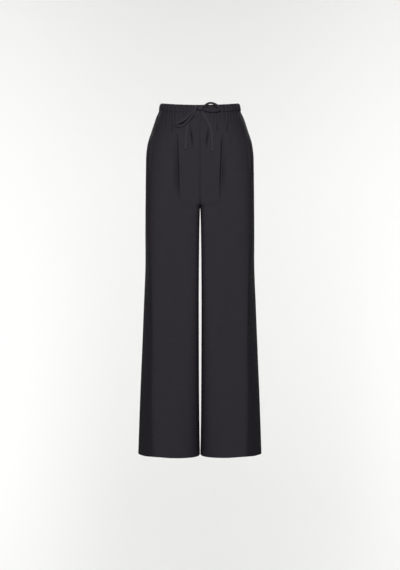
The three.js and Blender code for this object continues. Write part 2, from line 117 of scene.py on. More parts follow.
class Nodes:
    """A new material's node tree, with its Principled BSDF already in place."""

    def __init__(self, name):
        self.material = bpy.data.materials.new(name)
        self.material.use_nodes = True
        self.tree = self.material.node_tree
        self.finish = self.tree.nodes["Principled BSDF"]

    def feed(self, socket, value):
        if isinstance(value, Wire):
            self.tree.links.new(value.socket, socket)
        else:
            socket.default_value = value

    def add(self, kind, settings, inputs, output=None):
        """A node of that kind, its settings first and then its sockets. A hidden socket is passed over."""
        node = self.tree.nodes.new("ShaderNode" + kind)
        for name, value in settings.items():
            setattr(node, name, value)
        shown = [socket for socket in node.inputs if socket.enabled]
        for name, value in inputs.items():
            self.feed(shown[name] if isinstance(name, int) else node.inputs[name], value)
        if output is None:
            return Wire(self, next(socket for socket in node.outputs if socket.enabled))
        return Wire(self, node.outputs[output])


# %% [markdown]
# The cloth is a smooth, fluid dark weave. Close up it is a fine twill: yarns cross it on a slant, some a little
# thicker than the rest. From a step away only its soft sheen and a faint unevenness show. The pattern follows the
# piece's UV map, which is laid out in real metres of cloth, so the yarns run down each leg and turn with the folds.
# Bump carries the yarns, because they are far too fine for the mesh.

# %% Cloth finish
YARN = 0.00055
SLUB_SCALE = (1500, 60, 1)
PUCKER_PITCH, PUCKER_DRIFT, PUCKER_RELIEF = 0.0085, 0.006, 0.0006


def woven_finish(name, colour, lighter, roughness, yarn, relief, shine):
    """A twill in metres of the UV map "cloth", between two colours that are close to each other."""
    n = Nodes(name)
    flat = {"noise_dimensions": "2D"}
    place = n.add("UVMap", {"uv_map": "cloth"}, {})
    across = n.add("SeparateXYZ", {}, {"Vector": place}, "X")
    down = n.add("SeparateXYZ", {}, {"Vector": place}, "Y")
    turn = 2 * math.pi / yarn
    warp = n.add("Math", {"operation": "SINE"}, {0: across * turn})
    slant = n.add("Math", {"operation": "SINE"}, {0: (across + down) * (turn / 2)})
    long_way = n.add("VectorMath", {"operation": "MULTIPLY"}, {0: place, 1: SLUB_SCALE})
    slub = n.add("TexNoise", flat, {"Vector": long_way, "Scale": 1.0, "Detail": 1.0})
    cloud = n.add("TexNoise", flat, {"Vector": place, "Scale": 38.0, "Detail": 2.0})
    grain = n.add("TexNoise", flat, {"Vector": place, "Scale": 900.0, "Detail": 2.0})
    shade = 0.3 * cloud + 0.45 * slub + 0.25 * grain
    mixed = n.add("Mix", {"data_type": "RGBA"}, {0: shade, 1: colour, 2: lighter})
    n.feed(n.finish.inputs["Base Color"], mixed)
    n.feed(n.finish.inputs["Roughness"], roughness - 0.06 + 0.12 * grain)
    drawn_in = n.add("Attribute", {"attribute_name": "pucker"}, {}, "Fac")
    pucker = n.add("Math", {"operation": "SINE"}, {0: (down + cloud * PUCKER_DRIFT) * (2 * math.pi / PUCKER_PITCH)})
    height = 0.35 * warp + 0.35 * slant + 1.1 * slub + 0.8 * grain + (PUCKER_RELIEF / relief) * drawn_in * pucker
    bump = n.add("Bump", {}, {"Strength": 1.0, "Distance": relief, "Height": height})
    n.feed(n.finish.inputs["Normal"], bump)
    n.finish.inputs["Specular IOR Level"].default_value = shine
    return n.material


CLOTH = woven_finish(
    "dark woven cloth", (0.0175, 0.0158, 0.0198, 1), (0.0245, 0.0222, 0.0275, 1), 0.7, YARN, 0.00006, 0.03
)
RIBBON = woven_finish(
    "woven drawstring", (0.0192, 0.0176, 0.0211, 1), (0.0265, 0.0243, 0.0288, 1), 0.58, 0.0008, 0.00008, 0.06
)
POCKETING = woven_finish(
    "pocket lining cloth", (0.014, 0.013, 0.016, 1), (0.02, 0.0185, 0.0225, 1), 0.75, 0.0007, 0.00006, 0.05
)
THREAD = woven_finish("sewing thread", (0.016, 0.015, 0.018, 1), (0.024, 0.022, 0.027, 1), 0.5, 0.0003, 0.00003, 0.1)
print("finishes:", CLOTH.name, RIBBON.name, POCKETING.name, THREAD.name)

# %% [markdown]
# The drawstring comes first among the pieces. It is a flat woven tape, 8 mm wide, tied in a bow: a knot, two loops
# and two free ends that lie on the front. A curve with a bevel would do for a round cord, but a flat tape turns its
# face as it goes, so each strand is a mesh: one flat ring of points, extruded from station to station along the
# route. The route's points are listed, and are the solids' own, in metres. On a free end the tape lies with
# its face to the front. In a loop it leans, as a tape that is folded round into a cone does.

# %% Drawstring: routes
TAPE_WIDTH = 0.008
TAPE_THICKNESS = 0.0014
LEFT_END = [
    (0.005, -0.099, -0.0254),
    (0.0075, -0.0986, -0.031),
    (0.013, -0.0986, -0.0395),
    (0.0215, -0.1, -0.052),
    (0.029, -0.1024, -0.0687),
    (0.0345, -0.1058, -0.088),
    (0.0368, -0.1088, -0.117),
    (0.0374, -0.1112, -0.148),
]
RIGHT_END = [
    (-0.0025, -0.0972, -0.0257),
    (-0.007, -0.097, -0.031),
    (-0.018, -0.0986, -0.0385),
    (-0.0295, -0.0994, -0.0475),
    (-0.036, -0.101, -0.062),
    (-0.039, -0.104, -0.077),
    (-0.042, -0.1074, -0.105),
    (-0.0433, -0.1109, -0.142),
]
LEFT_LOOP = [
    (0.0103, -0.099, -0.0135),
    (0.02, -0.0988, -0.005),
    (0.031, -0.0975, -0.0009),
    (0.044, -0.096, -0.0035),
    (0.0545, -0.0945, -0.0105),
    (0.0576, -0.0938, -0.018),
    (0.052, -0.0947, -0.0236),
    (0.04, -0.097, -0.026),
    (0.026, -0.0989, -0.0246),
    (0.0103, -0.0994, -0.02),
]
RIGHT_LOOP = [
    (-0.0104, -0.102, -0.014),
    (-0.0197, -0.106, -0.026),
    (-0.034, -0.113, -0.04),
    (-0.0483, -0.114, -0.0535),
    (-0.06, -0.11, -0.0595),
    (-0.069, -0.107, -0.0625),
    (-0.0715, -0.1046, -0.0665),
    (-0.065, -0.1036, -0.0705),
    (-0.052, -0.1046, -0.069),
    (-0.04, -0.107, -0.06),
    (-0.031, -0.107, -0.0495),
    (-0.02, -0.105, -0.036),
    (-0.0106, -0.1014, -0.0235),
]
FRONT = Vector((0, -1, 0))


def smooth_route(points, stations):
    """Points evenly spaced along a smooth curve through the route's points."""
    points = [Vector(p) for p in points]
    ends = [2 * points[0] - points[1], *points, 2 * points[-1] - points[-2]]
    fine = []
    for before, a, b, after in zip(ends, ends[1:], ends[2:], ends[3:]):
        for step in range(16):
            t = step / 16
            fine.append(
                0.5
                * (
                    2 * a
                    + (b - before) * t
                    + (2 * before - 5 * a + 4 * b - after) * t * t
                    + (3 * a - before - 3 * b + after) * t**3
                )
            )
    fine.append(points[-1])
    gone = np.concatenate([[0], np.cumsum([(q - p).length for p, q in zip(fine, fine[1:])])])
    places = np.linspace(0, gone[-1], stations)
    columns = [np.interp(places, gone, [p[i] for p in fine]) for i in range(3)]
    return [Vector(p) for p in zip(*columns)], gone[-1]


# %% Drawstring: the tape as a flat ring swept along its route
TAPE_STATIONS = 90
TAPE_SIDES = 12


def tape_faces(route, lean):
    """The way that the tape faces at each station: to the front, leaning outwards from the middle of a loop."""
    middle = sum(route, Vector()) / len(route)
    faces = []
    for i, place in enumerate(route):
        along = (route[min(i + 1, len(route) - 1)] - route[max(i - 1, 0)]).normalized()
        outwards = place - middle
        outwards.y = 0
        outwards -= outwards.project(along)
        way = FRONT * math.cos(lean) + outwards.normalized() * math.sin(lean)
        way -= way.project(along)
        faces.append(way.normalized())
    return faces


def sweep_tape(mesh, route, faces, width, curl):
    """Draws the tape's flat section out from station to station, into a mesh, with its UV in metres."""
    uv = mesh.loops.layers.uv.get("cloth") or mesh.loops.layers.uv.new("cloth")
    ring = bmesh.ops.create_circle(mesh, cap_ends=False, segments=TAPE_SIDES, radius=1.0)["verts"]
    around = [math.atan2(v.co.y, v.co.x) for v in ring]
    edges = list({e for v in ring for e in v.link_edges})
    first, made = edges, {}
    gone = 0.0
    for i, (place, face) in enumerate(zip(route, faces)):
        along = (route[min(i + 1, len(route) - 1)] - route[max(i - 1, 0)]).normalized()
        sideways = along.cross(face).normalized()
        gone += (place - route[max(i - 1, 0)]).length
        for vertex, angle in zip(ring, around):
            c, s = math.cos(angle), math.sin(angle)
            flat = math.copysign(abs(c) ** 0.35, c) * width / 2
            thick = math.copysign(abs(s) ** 0.6, s) * TAPE_THICKNESS / 2
            cupped = curl * (2 * flat / width) ** 2
            vertex.co = place + sideways * flat + face * (thick - cupped)
            made[vertex] = (flat + (0.02 if s < 0 else 0), gone)
        if i + 1 == len(route):
            break
        grown = bmesh.ops.extrude_edge_only(mesh, edges=edges)["geom"]
        fresh = [g for g in grown if isinstance(g, bmesh.types.BMVert)]
        ring = ring_in_order(ring, fresh)
        edges = [g for g in grown if isinstance(g, bmesh.types.BMEdge) and all(v in fresh for v in g.verts)]
    bmesh.ops.edgeloop_fill(mesh, edges=first)
    bmesh.ops.edgeloop_fill(mesh, edges=edges)
    for face in {f for v in made for f in v.link_faces}:
        face.smooth = len(face.verts) == 4
        for loop in face.loops:
            loop[uv].uv = made[loop.vert]


def tape_piece(name, points, lean, curl):
    route, length = smooth_route(points, TAPE_STATIONS)
    faces = tape_faces(route, lean)
    for _ in range(6):
        around = zip([faces[0], *faces], faces, [*faces[1:], faces[-1]])
        faces = [(before + here + after).normalized() for before, here, after in around]
    mesh = bmesh.new()
    sweep_tape(mesh, route, faces, TAPE_WIDTH, curl)
    bmesh.ops.recalc_face_normals(mesh, faces=mesh.faces)
    piece = finished(name, mesh, RIBBON)
    print(name, "is", round(length * 1000), "mm long, with", len(piece.data.polygons), "faces")
    return piece, route, length


def ring_in_order(before, fresh):
    """The new ring's vertices in the order of the ring that they were drawn out of."""
    new_one = {}
    for vertex in fresh:
        for edge in vertex.link_edges:
            new_one[edge.other_vert(vertex)] = vertex
    return [new_one[vertex] for vertex in before]


def finished(name, mesh, material):
    """Turns a bmesh into an object at the origin that rides on the garment."""
    data = bpy.data.meshes.new(name)
    mesh.to_mesh(data)
    mesh.free()
    data.materials.append(material)
    piece = bpy.data.objects.new(name, data)
    bpy.context.scene.collection.objects.link(piece)
    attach(piece, "root")
    return piece


# %% Drawstring: its strands
strands = {
    "tie_end_left": (LEFT_END, 0.0, "bare"),
    "tie_end_right": (RIGHT_END, 0.0, "bare"),
    "tie_loop_left": (LEFT_LOOP, math.radians(30), "object"),
    "tie_loop_right": (RIGHT_LOOP, math.radians(18), "object"),
}
for node, (points, lean, far_end) in strands.items():
    piece, route, length = tape_piece("woven_" + node, points, lean, 0.0004)
    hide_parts(node)

# %% [markdown]
# The knot is the same tape, wrapped once round the middle of the bow over the strands that it grips. A rounded core
# stands for those strands. The wrap is drawn round it in a closed turn that starts and ends out of sight, behind.

# %% Drawstring: the knot
KNOT_PLACE = Vector((0.0015, -0.0994, -0.017))
KNOT_CORE = Vector((0.0164, 0.0068, 0.0112))
WRAP_DEPTH, WRAP_HEIGHT, WRAP_LEAN = 0.0036, 0.0063, 0.0012
WRAP_STATIONS = 36


def knot_piece():
    mesh = bmesh.new()
    uv = mesh.loops.layers.uv.new("cloth")
    bmesh.ops.create_cube(mesh, size=1.0)
    bmesh.ops.subdivide_edges(mesh, edges=mesh.edges, cuts=7, use_grid_fill=True)
    for vertex in mesh.verts:
        place = vertex.co.lerp(vertex.co.normalized() * 0.5, 0.62)
        ripple = 0.04 * math.sin(place.z * 19 + place.x * 4)
        place.y *= 1 + ripple
        vertex.co = KNOT_PLACE + Vector([a * b for a, b in zip(place, KNOT_CORE)])
    for face in mesh.faces:
        face.smooth = True
        for loop in face.loops:
            place = loop.vert.co - KNOT_PLACE
            loop[uv].uv = (place.z + place.y, place.x)
    turns = np.linspace(0.06, 2 * math.pi - 0.06, WRAP_STATIONS)
    route = [
        KNOT_PLACE
        + Vector((WRAP_LEAN * math.sin(t), WRAP_DEPTH * math.cos(t), WRAP_HEIGHT * math.sin(t)))
        for t in turns
    ]
    faces = [Vector((0, math.cos(t) / WRAP_DEPTH, math.sin(t) / WRAP_HEIGHT)).normalized() for t in turns]
    sweep_tape(mesh, route, faces, TAPE_WIDTH * 0.92, 0.0006)
    bmesh.ops.recalc_face_normals(mesh, faces=mesh.faces)
    piece = finished("woven_tie_knot", mesh, RIBBON)
    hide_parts("tie_knot")
    print("knot:", len(piece.data.polygons), "faces")


knot_piece()

# %% [markdown]
# The cloth's form. Each leg is a loop of cloth at every height: two half loops, round at the inseam, flatter at the
# front, and straight from the side seam to the side where the real cloth turns away. The table gives a loop for each
# height, in millimetres, as a maker measures a garment on a stand. A smooth curve runs through each column. Above
# the crotch the two loops reach past the centre plane, and are cut there by the centre seams.

# %% Form: the table of loops
COLUMNS = "z outer inner front back seam facet flat_front flat_back flat_in".split()
LOOPS = [
    (11, 119, -119, 90, 92, 117, 0, 2, 2, 2),
    (-11, 124, -124, 94, 97, 121.5, 0, 2.1, 2.05, 2),
    (-34, 134, -134, 98.5, 103, 128, 0, 2.3, 2.1, 2),
    (-71, 146.5, -146, 103.5, 111, 135, 0, 2.8, 2.15, 2.05),
    (-120, 160.5, -154, 107.5, 120, 148, 0, 3.3, 2.2, 2.15),
    (-157, 164, -126, 109, 124.5, 152, 0, 3.6, 2.25, 2.6),
    (-200, 164.6, -80, 109.5, 127, 154, 0.02, 3.8, 2.3, 3.4),
    (-240, 165, -43, 109, 127, 155, 0.05, 3.9, 2.35, 5),
    (-270, 165.3, -27, 108, 126, 155.2, 0.1, 3.9, 2.4, 7),
    (-292, 165.6, -13, 107, 124.8, 155, 0.15, 3.85, 2.4, 8.5),
    (-306, 165.8, 0.35, 106.2, 123.8, 154.6, 0.2, 3.8, 2.4, 9),
    (-360, 166.6, 2.4, 103.5, 119, 152.5, 0.4, 3.7, 2.4, 9),
    (-470, 167.6, 3.8, 98.5, 110.5, 150, 0.75, 3.55, 2.4, 8.5),
    (-605, 172.3, 4.7, 95, 103, 145.5, 1, 3.5, 2.4, 7),
    (-760, 178, 4.2, 92.5, 98.5, 143, 1, 3.5, 2.4, 5.5),
    (-912, 184.1, 3.3, 91, 96.5, 141, 1, 3.5, 2.4, 4),
    (-1035, 188.3, 1.7, 90.5, 95.5, 137.5, 1, 3.2, 2.4, 3),
    (-1064, 189.2, 1.0, 90.5, 95.5, 136.5, 1, 3, 2.4, 2.8),
]
TABLE = {name: np.array([float(row[i]) for row in reversed(LOOPS)]) for i, name in enumerate(COLUMNS)}
BAND_TOP, WAIST_SEAM, CROTCH, HEM = 11.0, -11.0, -306.0, -1064.0
FORK_Y = 8.0
FACET_BULGE = 1.2
HALF_GAP = 0.006
FRONT_DIP, BACK_RISE, TILT_CURVE, TILT_FADES = 17.0, 6.0, 1.25, 150.0


def at(name, z):
    """A smooth curve through a column of the table, with no overshoot between its rows."""
    heights, values = TABLE["z"], TABLE[name]
    spans = np.diff(heights)
    slopes = np.diff(values) / spans
    turning = slopes[1:] * slopes[:-1]
    total = np.where(np.abs(slopes[1:] + slopes[:-1]) < 1e-9, 1, slopes[1:] + slopes[:-1])
    tangents = np.concatenate([[slopes[0]], np.where(turning > 0, 2 * turning / total, 0), [slopes[-1]]])
    i = int(np.clip(np.searchsorted(heights, z, side="right") - 1, 0, len(spans) - 1))
    t = min(max((z - heights[i]) / spans[i], 0), 1)
    ease = t * t * (3 - 2 * t)
    lean = spans[i] * (tangents[i] * t * (1 - t) ** 2 - tangents[i + 1] * t * t * (1 - t))
    return values[i] * (1 - ease) + values[i + 1] * ease + lean


def smooth(share):
    share = np.clip(share, 0, 1)
    return share * share * (3 - 2 * share)


print("hem loop reaches", at("outer", HEM), "mm from the centre plane")

# %% Form: the cloth round one leg at one height
PANEL_STEPS, FACET_STEPS = 160, 60
ROUNDS = {}


def signed_power(values, power):
    return np.sign(values) * np.abs(values) ** power


def cloth_round(z):
    """The loop from the centre front or inseam, round the outside, to the back: x, y, distance and facing."""
    if z in ROUNDS:
        return ROUNDS[z]
    outer, inner, front, back = (at(name, z) for name in ("outer", "inner", "front", "back"))
    centre, half = (outer + inner) / 2, (outer - inner) / 2
    squareness = {name: at(name, z) for name in ("flat_front", "flat_back", "flat_in")}

    def loop(angle):
        s, c = np.sin(angle), np.cos(angle)
        flat = np.where(s < 0, squareness["flat_in"], np.where(c > 0, squareness["flat_front"], squareness["flat_back"]))
        reach = np.where(c > 0, front + FORK_Y, back - FORK_Y)
        return centre + half * signed_power(s, 2 / flat), FORK_Y - reach * signed_power(c, 2 / flat)

    def cut_angle(low, high):
        for _ in range(40):
            middle = (low + high) / 2
            low, high = (middle, high) if loop(middle)[0] < HALF_GAP else (low, middle)
        return high

    whole = inner >= HALF_GAP
    start = -math.pi / 2 if whole else cut_angle(-math.pi / 2, 0)
    end = 1.5 * math.pi if whole else cut_angle(1.5 * math.pi, math.pi)
    seam = math.asin(((at("seam", z) - centre) / half) ** (squareness["flat_front"] / 2))
    front_x, front_y = loop(np.linspace(start, seam, PANEL_STEPS + 1))
    share = np.linspace(0, 1, FACET_STEPS + 1)
    round_x, round_y = loop(seam + (math.pi / 2 - seam) * share)
    quarter = share * math.pi / 2
    straight_x = front_x[-1] + (outer - front_x[-1]) * np.sin(quarter) ** (2 / FACET_BULGE)
    straight_y = FORK_Y + (front_y[-1] - FORK_Y) * np.abs(np.cos(quarter)) ** (2 / FACET_BULGE)
    facet = at("facet", z)
    side_x, side_y = round_x + (straight_x - round_x) * facet, round_y + (straight_y - round_y) * facet
    back_x, back_y = loop(np.linspace(math.pi / 2, end, PANEL_STEPS + 1))
    x = np.concatenate([front_x, side_x[1:], back_x[1:]])
    y = np.concatenate([front_y, side_y[1:], back_y[1:]])
    gone = np.concatenate([[0], np.cumsum(np.hypot(np.diff(x), np.diff(y)))])
    face_x, face_y = np.gradient(y, gone), -np.gradient(x, gone)
    ROUNDS[z] = {
        "x": x,
        "y": y,
        "gone": gone,
        "face_x": face_x,
        "face_y": face_y,
        "seam": gone[PANEL_STEPS],
        "widest": PANEL_STEPS + FACET_STEPS,
    }
    return ROUNDS[z]


check = cloth_round(-600.0)
print("cloth round one leg 0.6 m down:", round(check["gone"][-1]), "mm, its front", round(check["seam"]), "mm")

# %% [markdown]
# Gathers, pleats and drapes are moved into the plain form as soft troughs and ridges. The elastic holds
# thirteen gathers in each panel, uneven in width and in how soon they die out below the band. Two long pleats fall
# from the waist to the thigh, short tucks stand between them, and a long soft drape hangs from the seat. Drag lines
# run up and out from the crotch, where worn cloth is pulled. The back has the same kinds, because real cloth does.

# %% Form: gathers
GATHERS = 13
GATHER_DEPTH, GATHER_SWELL = 1.0, 0.5


def gather_rise(across, z, side, is_back):
    """across is 0 at the centre seam and 1 at the side seam."""
    turn = 2 * math.pi * across
    mood = (2.1 if is_back else 0.4) + (1.3 if side < 0 else 0)
    phase = turn * GATHERS + 1.2 * np.sin(turn * 3 + mood) * np.sin(math.pi * across)
    wave = np.cos(phase) - 0.16 * np.cos(2 * phase) + 0.16
    reach = 40 + 16 * np.sin(turn * 4 + mood) + 9 * np.sin(turn * 9 + 2 * mood)
    below = max(0.0, WAIST_SEAM - z)
    uneven = 0.72 + 0.28 * np.sin(turn * 5 + 3 * mood)
    depth = GATHER_DEPTH + GATHER_SWELL * smooth(below / 20)
    fine = 0.22 * np.cos(phase * 2.0 + 1.7 + mood + z * 0.05) * np.exp(-((below / 26) ** 2))
    return depth * uneven * wave * np.exp(-((below / reach) ** 1.6)) + fine


# %% Form: pleats, tucks and drapes
FOLD_COLUMNS = "side top deep end x_top x_end depth near far".split()
CREASE_WIDTH, CREASE_SHARE, FOLD_LEAN = 3.2, 0.35, 0.35
FRONT_FOLDS = [
    (1, -44, -104, -142, 37, 18.5, 5.2, 4, 3),
    (-1, -42, -100, -142, 42, 21, 5, 4, 3),
    (1, -62, -150, -300, 76, 61.5, 7, 5, 20),
    (-1, -60, -150, -302, 76, 64, 7.2, 5, 22),
    (1, -150, -225, -322, 66, 61.5, 4.5, 5, 16),
    (-1, -150, -228, -326, 68, 64, 4.8, 5, 17),
    (1, -38, -60, -86, 55, 53, 3, 4, 5),
    (0, -38, -62, -92, 87, 84, 3.6, 4.5, 6),
]
BACK_FOLDS = [
    (1, -42, -88, -150, 40, 33, 4.2, 4.5, 6),
    (-1, -44, -94, -162, 36, 31, 4.4, 4.5, 6),
    (1, -40, -100, -190, 80, 85, 4.6, 6, 8),
    (-1, -42, -108, -204, 84, 90, 4.4, 6, 8),
    (0, -36, -58, -84, 60, 58, 3, 4, 5),
    (0, -250, -620, -1250, 92, 82, 8, 34, 34),
    (1, -70, -210, -470, 149, 157, 4, 11, 16),
    (-1, -76, -230, -500, 151, 158, 3.8, 11, 16),
    (0, -420, -780, -1300, 158, 175, 4.5, 16, 22),
]
FOLDS = {
    is_back: [dict(zip(FOLD_COLUMNS, row)) for row in rows] for is_back, rows in ((False, FRONT_FOLDS), (True, BACK_FOLDS))
}


def along_at_x(ring, x, is_back):
    """How far along a loop its front or back stands x from the centre plane."""
    if is_back:
        xs, gone = ring["x"][ring["widest"] :][::-1], ring["gone"][ring["widest"] :][::-1]
    else:
        xs, gone = ring["x"][: ring["widest"]], ring["gone"][: ring["widest"]]
    return float(np.interp(x, xs, gone))


def fold_rise(ring, along, z, side, is_back):
    rise = np.zeros_like(along)
    for fold in FOLDS[is_back]:
        if fold["side"] == -side or z > fold["top"] or z < fold["end"]:
            continue
        down = (fold["top"] - z) / (fold["top"] - fold["deep"])
        up = (z - fold["end"]) / (fold["deep"] - fold["end"])
        strength = smooth(down if z > fold["deep"] else up)
        lean = ((fold["top"] - z) / (fold["top"] - fold["end"])) ** FOLD_LEAN
        x = fold["x_top"] + (fold["x_end"] - fold["x_top"]) * lean
        from_line = (along_at_x(ring, x, is_back) - along) * (1 if is_back else -1)
        width = np.where(from_line < 0, fold["near"], fold["far"])
        slope = 1 - smooth(np.abs(from_line) / width)
        line = np.exp(-((from_line / CREASE_WIDTH) ** 2))
        rise -= fold["depth"] * strength * (slope + CREASE_SHARE * line)
    return rise


# %% Form: creases that only show from close by
CREASE_COLUMNS = "side is_back x_from z_from x_to z_to depth width".split()
CREASES = [
    (1, False, 6, -290, 62, -236, 1.6, 13),
    (-1, False, 7, -286, 58, -238, 1.4, 12),
    (1, False, 10, -318, 74, -292, 1.2, 14),
    (-1, False, 9, -322, 80, -300, 1.3, 14),
    (0, True, 8, -300, 78, -246, 2.2, 15),
    (0, True, 12, -330, 96, -296, 2.0, 18),
    (1, True, 20, -372, 104, -352, 1.2, 18),
    (-1, True, 24, -380, 96, -350, 1.2, 18),
    (1, False, 100, -90, 92, -150, 1.2, 12),
    (-1, False, 104, -92, 95, -158, 1.2, 13),
    (1, False, 46, -96, 43, -170, 1.0, 9),
    (-1, False, 48, -94, 45, -160, 1.0, 9),
    (1, False, 112, -420, 96, -760, 1.6, 34),
    (-1, False, 108, -460, 99, -820, 1.6, 34),
    (1, False, 52, -560, 60, -960, -1.4, 30),
    (-1, False, 56, -600, 63, -990, -1.4, 30),
    (0, True, 140, -380, 132, -900, 3.0, 40),
    (0, True, 40, -480, 46, -980, -2.2, 34),
]


def crease_rise(x, z, side, is_back):
    """Soft troughs along straight lines, each given by its two ends on the cloth, seen from the front or back."""
    rise = np.zeros_like(x)
    for row in CREASES:
        crease = dict(zip(CREASE_COLUMNS, row))
        if crease["is_back"] != is_back or crease["side"] == -side:
            continue
        line = np.array([crease["x_to"] - crease["x_from"], crease["z_to"] - crease["z_from"]], dtype=float)
        length = np.hypot(*line)
        line /= length
        dx, dz = x - crease["x_from"], z - crease["z_from"]
        share = (dx * line[0] + dz * line[1]) / length
        away = np.abs(dx * line[1] - dz * line[0]) / crease["width"]
        taper = smooth(4 * share) * smooth(2 * (1 - share))
        rise -= crease["depth"] * taper * np.exp(-(away**2) * 2)
    return rise


# %% [markdown]
# Seams show as a narrow valley, because the cloth rolls in to its stitches on both sides. The side seam's upper part
# is left open as a pocket mouth: the front's edge stands proud there, and the bag hangs inside. Half a finger above
# the hem, the small pricks of a blind hem dimple the cloth.

# %% Form: seams, pocket mouth and hem
POCKET_TOP, POCKET_BOTTOM, POCKET_LIFT, POCKET_LIP = -74.0, -214.0, 2.6, 12.0
SEAM_DEPTH, SEAM_ROLL = 1.0, 2.4
CENTRE_HOLD = 4.0
FORK_LINE, FORK_SHARE = 26.0, 0.18
FORK_SLOPE, FORK_REACH = 0.06, 130.0
HEM_DEPTH, PRICK_PITCH = 30.0, 9.0
HEM_LIFT, HEM_SWEEP, HEM_FADE = 3.4, 36.0, 120.0


def edge_rise(along, low, high, z, side, is_back):
    at_side, at_centre = (along - low, high - along) if is_back else (high - along, along - low)
    middle, half = (POCKET_TOP + POCKET_BOTTOM) / 2, (POCKET_TOP - POCKET_BOTTOM) / 2
    open_share = smooth(2.4 * (1 - abs(z - middle) / half)) if POCKET_BOTTOM < z < POCKET_TOP else 0.0
    pucker = 1 + 0.25 * math.sin(z * 0.41 + side) + 0.2 * math.sin(z * 0.17)
    valley = SEAM_DEPTH * pucker
    rise = -valley * np.exp(-((at_centre / SEAM_ROLL) ** 2))
    rise -= valley * (1 - open_share) * np.exp(-((at_side / SEAM_ROLL) ** 2))
    if not is_back:
        rise += POCKET_LIFT * open_share * smooth(1 - at_side / POCKET_LIP)
        rise -= 0.5 * open_share * np.exp(-(((at_side - POCKET_LIP) / 1.6) ** 2))
    if z < HEM + HEM_DEPTH + 4:
        row = math.exp(-(((z - HEM - HEM_DEPTH) / 2.2) ** 2))
        rise -= 0.32 * row * (0.55 + 0.45 * np.cos(2 * math.pi * along / PRICK_PITCH))
    return rise


def spread(ring, low, high, across, is_back):
    """Distances along a loop for even shares of a panel's columns.

    A fixed share of the columns lies between the centre seam or inseam and a line a little way from it. So only those
    columns move where the centre seams end and the legs begin.
    """
    line = along_at_x(ring, FORK_LINE, is_back)
    places, shares = ([low, line, high], [0, 1 - FORK_SHARE, 1]) if is_back else ([low, line, high], [0, FORK_SHARE, 1])
    return np.interp(across, shares, places)


def cloth_line(side, is_back, across, z, folded=True, sunk=0.0):
    """One level line of a panel's outer face, in millimetres. across is 0 to 1 over the panel's columns.

    Near a centre seam the cloth only moves to the front or back, so that the two sides still meet.
    """
    ring = cloth_round(float(z))
    low = (ring["seam"] if is_back else 0.0) + HALF_GAP
    high = (ring["gone"][-1] if is_back else ring["seam"]) - HALF_GAP
    along = spread(ring, low, high, across, is_back)
    across = (along - low) / (high - low)
    x, y, face_x, face_y = (np.interp(along, ring["gone"], ring[name]) for name in ("x", "y", "face_x", "face_y"))
    size = np.hypot(face_x, face_y)
    face_x, face_y = face_x / size, face_y / size
    rise = np.full_like(along, -sunk)
    if folded:
        rise = rise + gather_rise(1 - across if is_back else across, z, side, is_back)
        rise = rise + fold_rise(ring, along, z, side, is_back) + crease_rise(x, z, side, is_back)
        rise = rise + edge_rise(along, low, high, z, side, is_back)
    reach = np.where(y < 0, at("front", z), at("back", z))
    fade = 1 - smooth((WAIST_SEAM - z) / TILT_FADES)
    height = z + fade * np.abs(y / reach) ** TILT_CURVE * np.where(y < 0, -FRONT_DIP, BACK_RISE)
    height = height + FORK_SLOPE * y * (1 - smooth(abs(z - CROTCH) / FORK_REACH))
    height = height + HEM_LIFT * smooth((HEM + HEM_FADE - z) / HEM_FADE) * np.exp(-(((along - ring["seam"]) / HEM_SWEEP) ** 2))
    from_centre = high - along if is_back else along - low
    kept = 1 - np.exp(-((from_centre / CENTRE_HOLD) ** 2)) if z > CROTCH else 1.0
    x = np.maximum(x + rise * face_x * kept, HALF_GAP)
    return np.stack([side * x, y + rise * face_y, height], axis=-1), along


line, _ = cloth_line(1, False, np.linspace(0, 1, 5), -600.0)
print("front, 0.6 m down:", line.round(1).tolist())

# %% [markdown]
# Each panel is a grid, bent onto the form. A grid from bmesh.ops.create_grid has its points in even rows, so each
# point knows its share across and down, and takes its place from the form. Rows are closer near the waist, where the
# gathers are. At the bottom, a few more rows turn under and run up inside, as the real hem does. A Solidify modifier
# then gives the cloth its thickness, inwards, so that the outside stays where the solids have it.

# %% Panels
CLOTH_THICKNESS = 0.9
PANEL_ACROSS = 148
PUCKER_KNEE, PUCKER_LENGTH, PUCKER_REACH = -700.0, 150.0, 13.0
HEM_TURN = [(HEM - 0.5, 0.5), (HEM - 0.4, 1.3), (HEM + 1.2, 2.0), (HEM + 9, 2.1), (HEM + 18, 2.1), (HEM + 27, 2.1)]


def panel_rows():
    """Heights with how far inside each row lies: the outside, then the hem's turn."""
    step = 1
    upper = np.linspace(WAIST_SEAM - 0.2, -130, 62 // step)
    hips = np.linspace(-134, -288, 44 // step)
    fork = np.linspace(-290, -312, 23 // step)
    leg = np.linspace(-316, HEM + 40, 104 // step)
    hem = np.linspace(HEM + 38, HEM + 1, 24 // step)
    outside = [(float(z), 0.0) for z in (*upper, *hips, *fork, *leg, *hem)]
    return outside + HEM_TURN


def grid_piece(name, lines, material, widths, puckers=None):
    """A grid of as many rows and columns as the lines have, bent onto them, with a UV map in metres of cloth."""
    lines = np.asarray(lines) * MM
    rows, columns = lines.shape[:2]
    mesh = bmesh.new()
    bmesh.ops.create_grid(mesh, x_segments=columns - 1, y_segments=rows - 1, size=1.0)
    uv = mesh.loops.layers.uv.new("cloth")
    pucker = mesh.verts.layers.float.new("pucker")
    down = np.concatenate([[0], np.cumsum(np.linalg.norm(np.diff(lines[:, columns // 2], axis=0), axis=1))])
    for vertex in mesh.verts:
        column = round((vertex.co.x + 1) / 2 * (columns - 1))
        row = round((1 - vertex.co.y) / 2 * (rows - 1))
        vertex.co = lines[row, column]
        vertex[pucker] = 0.0 if puckers is None else puckers[row][column]
        for loop in vertex.link_loops:
            loop[uv].uv = (widths[row][column] * MM, down[row])
    for face in mesh.faces:
        face.smooth = True
    return finished(name, mesh, material)


